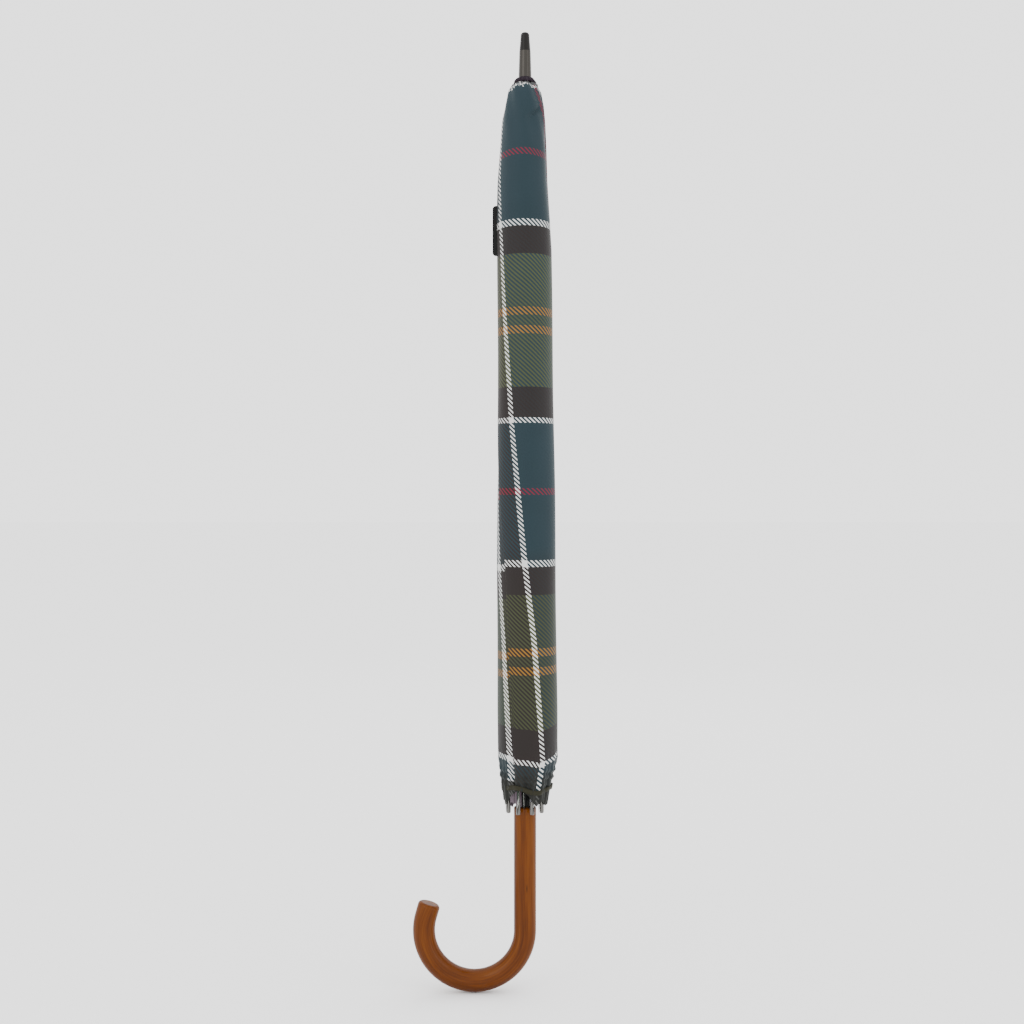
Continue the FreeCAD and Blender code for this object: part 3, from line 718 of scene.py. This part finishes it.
def gathered(points, body_matrix, joint_name, along):
    """Where points of the open cloth lie at rest, so that the blend about the fan's hinge brings them back."""
    joint = JOINTS[joint_name]
    axis = np.array(joint["axis"])
    anchor = np.array(joint["pos_m"])
    across = np.cross(axis, along)
    across /= np.linalg.norm(across)
    full = RATIOS[joint_name] * TRAVEL
    local = moved(np.linalg.inv(body_matrix), points) - anchor
    axial = (local @ axis)[:, None] * axis
    flat = local - axial
    sideways = np.cross(axis, flat)
    low = np.zeros(len(points))
    high = np.ones(len(points))
    for _ in range(HALVINGS):
        share = (low + high) / 2
        turn = -share * full
        turned = flat * np.cos(turn)[:, None] + sideways * np.sin(turn)[:, None]
        place = np.clip(turned @ across / PLEAT, 0, 1)
        more = place * place * (3 - 2 * place) > share
        low = np.where(more, share, low)
        high = np.where(more, high, share)
    return anchor + axial + turned, anchor, across


def make_gore(k, ring):
    """The upper or lower half of the gore between two ribs, modelled open and then gathered on its own rib."""
    neighbour = k % RIB_COUNT + 1
    upper = ring == "upper"
    rows = 44
    columns = 33
    start, stop = (CLOTH_START, KNEE) if upper else (KNEE - SEAM_LAP, CLOTH_END)
    across = np.linspace(0, 1, columns)
    points = np.empty((rows, columns, 3))
    cloth = np.empty((rows, columns, 2))
    _, along, _ = rib_frame(k)
    valley = 4 * across * (1 - across)
    for c, part in enumerate(across):
        end = stop if upper else stop - HEM_RISE * (CLOTH_END - KNEE) * valley[c]
        distances = np.linspace(start, end, rows)
        left = on_rib(k, ring, distances)
        right = on_rib(neighbour, ring, distances)
        points[:, c] = left + (right - left) * part
        middle = (left + right) / 2
        width = np.linalg.norm(right - left, axis=1)
        steps = np.linalg.norm(np.diff(middle, axis=0), axis=1)
        cloth[:, c, 0] = CENTRE_COLUMN + width * (part - 0.5)
        cloth[:, c, 1] = ROW_START[ring] + np.concatenate([[0], np.cumsum(steps)])
    fan = f"{ring}_fan_{k}"
    matrix = open_matrices(k)[0 if upper else 1]
    rest, anchor, sideways = gathered(points.reshape(-1, 3), matrix, fan, along)
    name = f"gore_{ring}_{k}"
    item = piece(name, grid_mesh(name, rest.reshape(points.shape), cloth), "tartan_twill")
    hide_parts(f"panel_{ring}_{k}")
    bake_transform(item)


# Camera, light and floor -----------------------------------------------------------------------------------------
CAMERA_SIDE = -12.0 * MM
CAMERA_DISTANCE = 1.3
CAMERA_LENS = 49.66
WORLD_LIGHT = 2.3
FLOOR_REACH = 60.0
FLOOR_GAP = 0.5 * MM
# Name, place (with its height over the middle of the umbrella), size and power of each lamp.
LAMPS = [
    ("key", (-1.5, -2.0, 1.2), (1.4, 1.8), 14),
    ("fill", (1.9, -1.6, 0.3), (0.5, 2.2), 8),
    ("rim", (0.6, 2.0, 1.2), (1.6, 1.0), 6),
]


def area_light(name, place, target, size, power):
    light = bpy.data.lights.new(name, "AREA")
    light.shape = "RECTANGLE"
    light.size, light.size_y = size
    light.energy = power
    item = bpy.data.objects.new(name, light)
    item.location = place
    aim = bpy.data.objects.new(name + "_aim", None)
    aim.location = target
    bpy.context.scene.collection.objects.link(item)
    bpy.context.scene.collection.objects.link(aim)
    track = item.constraints.new("TRACK_TO")
    track.target = aim
    track.track_axis = "TRACK_NEGATIVE_Z"
    track.up_axis = "UP_Y"


def make_studio():
    middle = (LOW[2] + HIGH[2]) / 2
    camera = bpy.data.cameras.new("camera")
    camera.sensor_width = 36.0
    camera.lens = CAMERA_LENS
    item = bpy.data.objects.new("camera", camera)
    item.location = (CAMERA_SIDE, -CAMERA_DISTANCE, middle)
    item.rotation_euler = (math.radians(90), 0, 0)
    bpy.context.scene.collection.objects.link(item)
    bpy.context.scene.camera = item
    for name, (x, y, rise), size, power in LAMPS:
        area_light(name, (x, y, middle + rise), (0, 0, middle), size, power)
    world = bpy.data.worlds.new("studio")
    bpy.context.scene.world = world
    world.use_nodes = True
    background = world.node_tree.nodes["Background"]
    background.inputs["Color"].default_value = (1.0, 1.0, 1.0, 1.0)
    background.inputs["Strength"].default_value = WORLD_LIGHT
    level = LOW[2] - FLOOR_GAP
    corners = [(x * FLOOR_REACH, y * FLOOR_REACH, level) for x, y in ((-1, -1), (1, -1), (1, 1), (-1, 1))]
    floor_mesh = bpy.data.meshes.new("floor")
    floor_mesh.from_pydata(corners, [], [(0, 1, 2, 3)])
    floor = bpy.data.objects.new("floor", floor_mesh)
    floor.data.materials.append(plain("floor", (0.96, 0.96, 0.96), 1.0, Specular_IOR_Level=0.0))
    bpy.context.scene.collection.objects.link(floor)


def dress_cad_nodes():
    """Each CAD node that stays visible takes the material of its slot."""
    slots = {entry["node"]: entry["material_slot"] for entry in RECORD["subparts"]}
    for name, item in frame["nodes"].items():
        material = MATERIALS[slots[name]]
        item.data.materials.clear()
        item.data.materials.append(material)


dress_cad_nodes()
make_roll()
make_strap()
make_label()
make_rosette()
for number in range(1, RIB_COUNT + 1):
    make_gore(number, "upper")
    make_gore(number, "lower")
make_studio()
